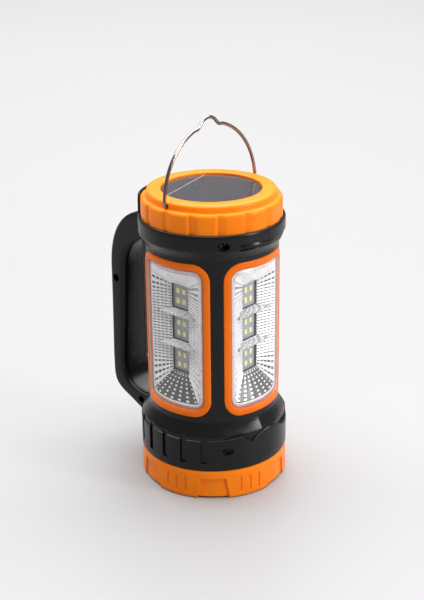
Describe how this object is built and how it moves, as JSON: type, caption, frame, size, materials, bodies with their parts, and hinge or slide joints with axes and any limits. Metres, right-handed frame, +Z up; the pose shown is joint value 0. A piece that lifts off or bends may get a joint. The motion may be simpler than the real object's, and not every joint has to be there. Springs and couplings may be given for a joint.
{
  "type": "rechargeable lantern torch",
  "caption": "Upright lantern torch with a spotlight head as its foot, three side light windows, a solar cell in the cap, a D handle and a fold-down wire bail.",
  "frame": {"origin": "middle of the object's box on the plane it stands on, under the head's lower face", "axes": "+Z up along the barrel, -Y out of the front light, +Y towards the handle, +X to the right seen from the front"},
  "size_m": [0.095, 0.128, 0.2384],
  "materials": {
    "orange_plastic": "satin moulded orange ABS",
    "black_plastic": "fine spark-textured black ABS",
    "clear_lens": "clear moulded polycarbonate",
    "reflector": "vacuum-metallised plastic",
    "led_board": "pale solder mask with yellow-white LED chips",
    "led": "phosphor under a silicone dome",
    "solar_cell": "dark silicon under clear resin, fine grid lines",
    "steel_wire": "bright plated steel wire",
    "screw_steel": "zinc plated",
    "port_metal": "stamped steel",
    "aluminium": "plain",
    "rubber": "matt",
    "grey_plastic": "plain moulded",
    "battery_wrap": "plain heat-shrink sleeve",
    "circuit_board": "green solder mask"
  },
  "bodies": {
    "lamp_body": {"head_bezel": "orange_plastic", "spot_lens": "clear_lens", "lens_seal": "rubber", "spot_reflector": "reflector", "spot_led_board": "aluminium", "spot_led": "led", "heat_sink": "aluminium", "housing_left": "black_plastic", "housing_right": "black_plastic", "screw_neck": "screw_steel", "screw_head": "screw_steel", "screw_grip": "screw_steel", "screw_handle_foot": "screw_steel", "window_frame_front": "orange_plastic", "window_lens_front": "clear_lens", "side_reflector_front": "reflector", "side_led_board_front": "led_board", "window_frame_left": "orange_plastic", "window_lens_left": "clear_lens", "side_reflector_left": "reflector", "side_led_board_left": "led_board", "window_frame_right": "orange_plastic", "window_lens_right": "clear_lens", "side_reflector_right": "reflector", "side_led_board_right": "led_board", "cap_ring": "orange_plastic", "solar_panel": "solar_cell", "switch_body": "grey_plastic", "switch_spring": "steel_wire", "charge_port": "port_metal", "battery_holder": "grey_plastic", "battery_cell_left": "battery_wrap", "battery_cell_right": "battery_wrap", "control_board": "circuit_board"},
    "bail_wire": {"bail": "steel_wire"},
    "push_button": {"switch_button": "rubber"},
    "flap": {"port_flap": "rubber"}
  },
  "joints": [
    {"name": "bail_hinge", "type": "hinge", "parent": "lamp_body", "child": "bail_wire", "pos_m": [0, -0.0165, 0.1903], "axis": [1, 0, 0], "range_deg": [-87, 92]},
    {"name": "button_press", "type": "slide", "parent": "lamp_body", "child": "push_button", "axis": [0, -1, 0], "range_m": [0, 0.001], "stiffness_N_per_m": 500, "springref_m": -0.002, "deforming": ["switch_spring"]},
    {"name": "flap_hinge", "type": "hinge", "parent": "lamp_body", "child": "flap", "pos_m": [0, 0.06205, 0.1362], "axis": [1, 0, 0], "range_deg": [0, 100]}
  ]
}
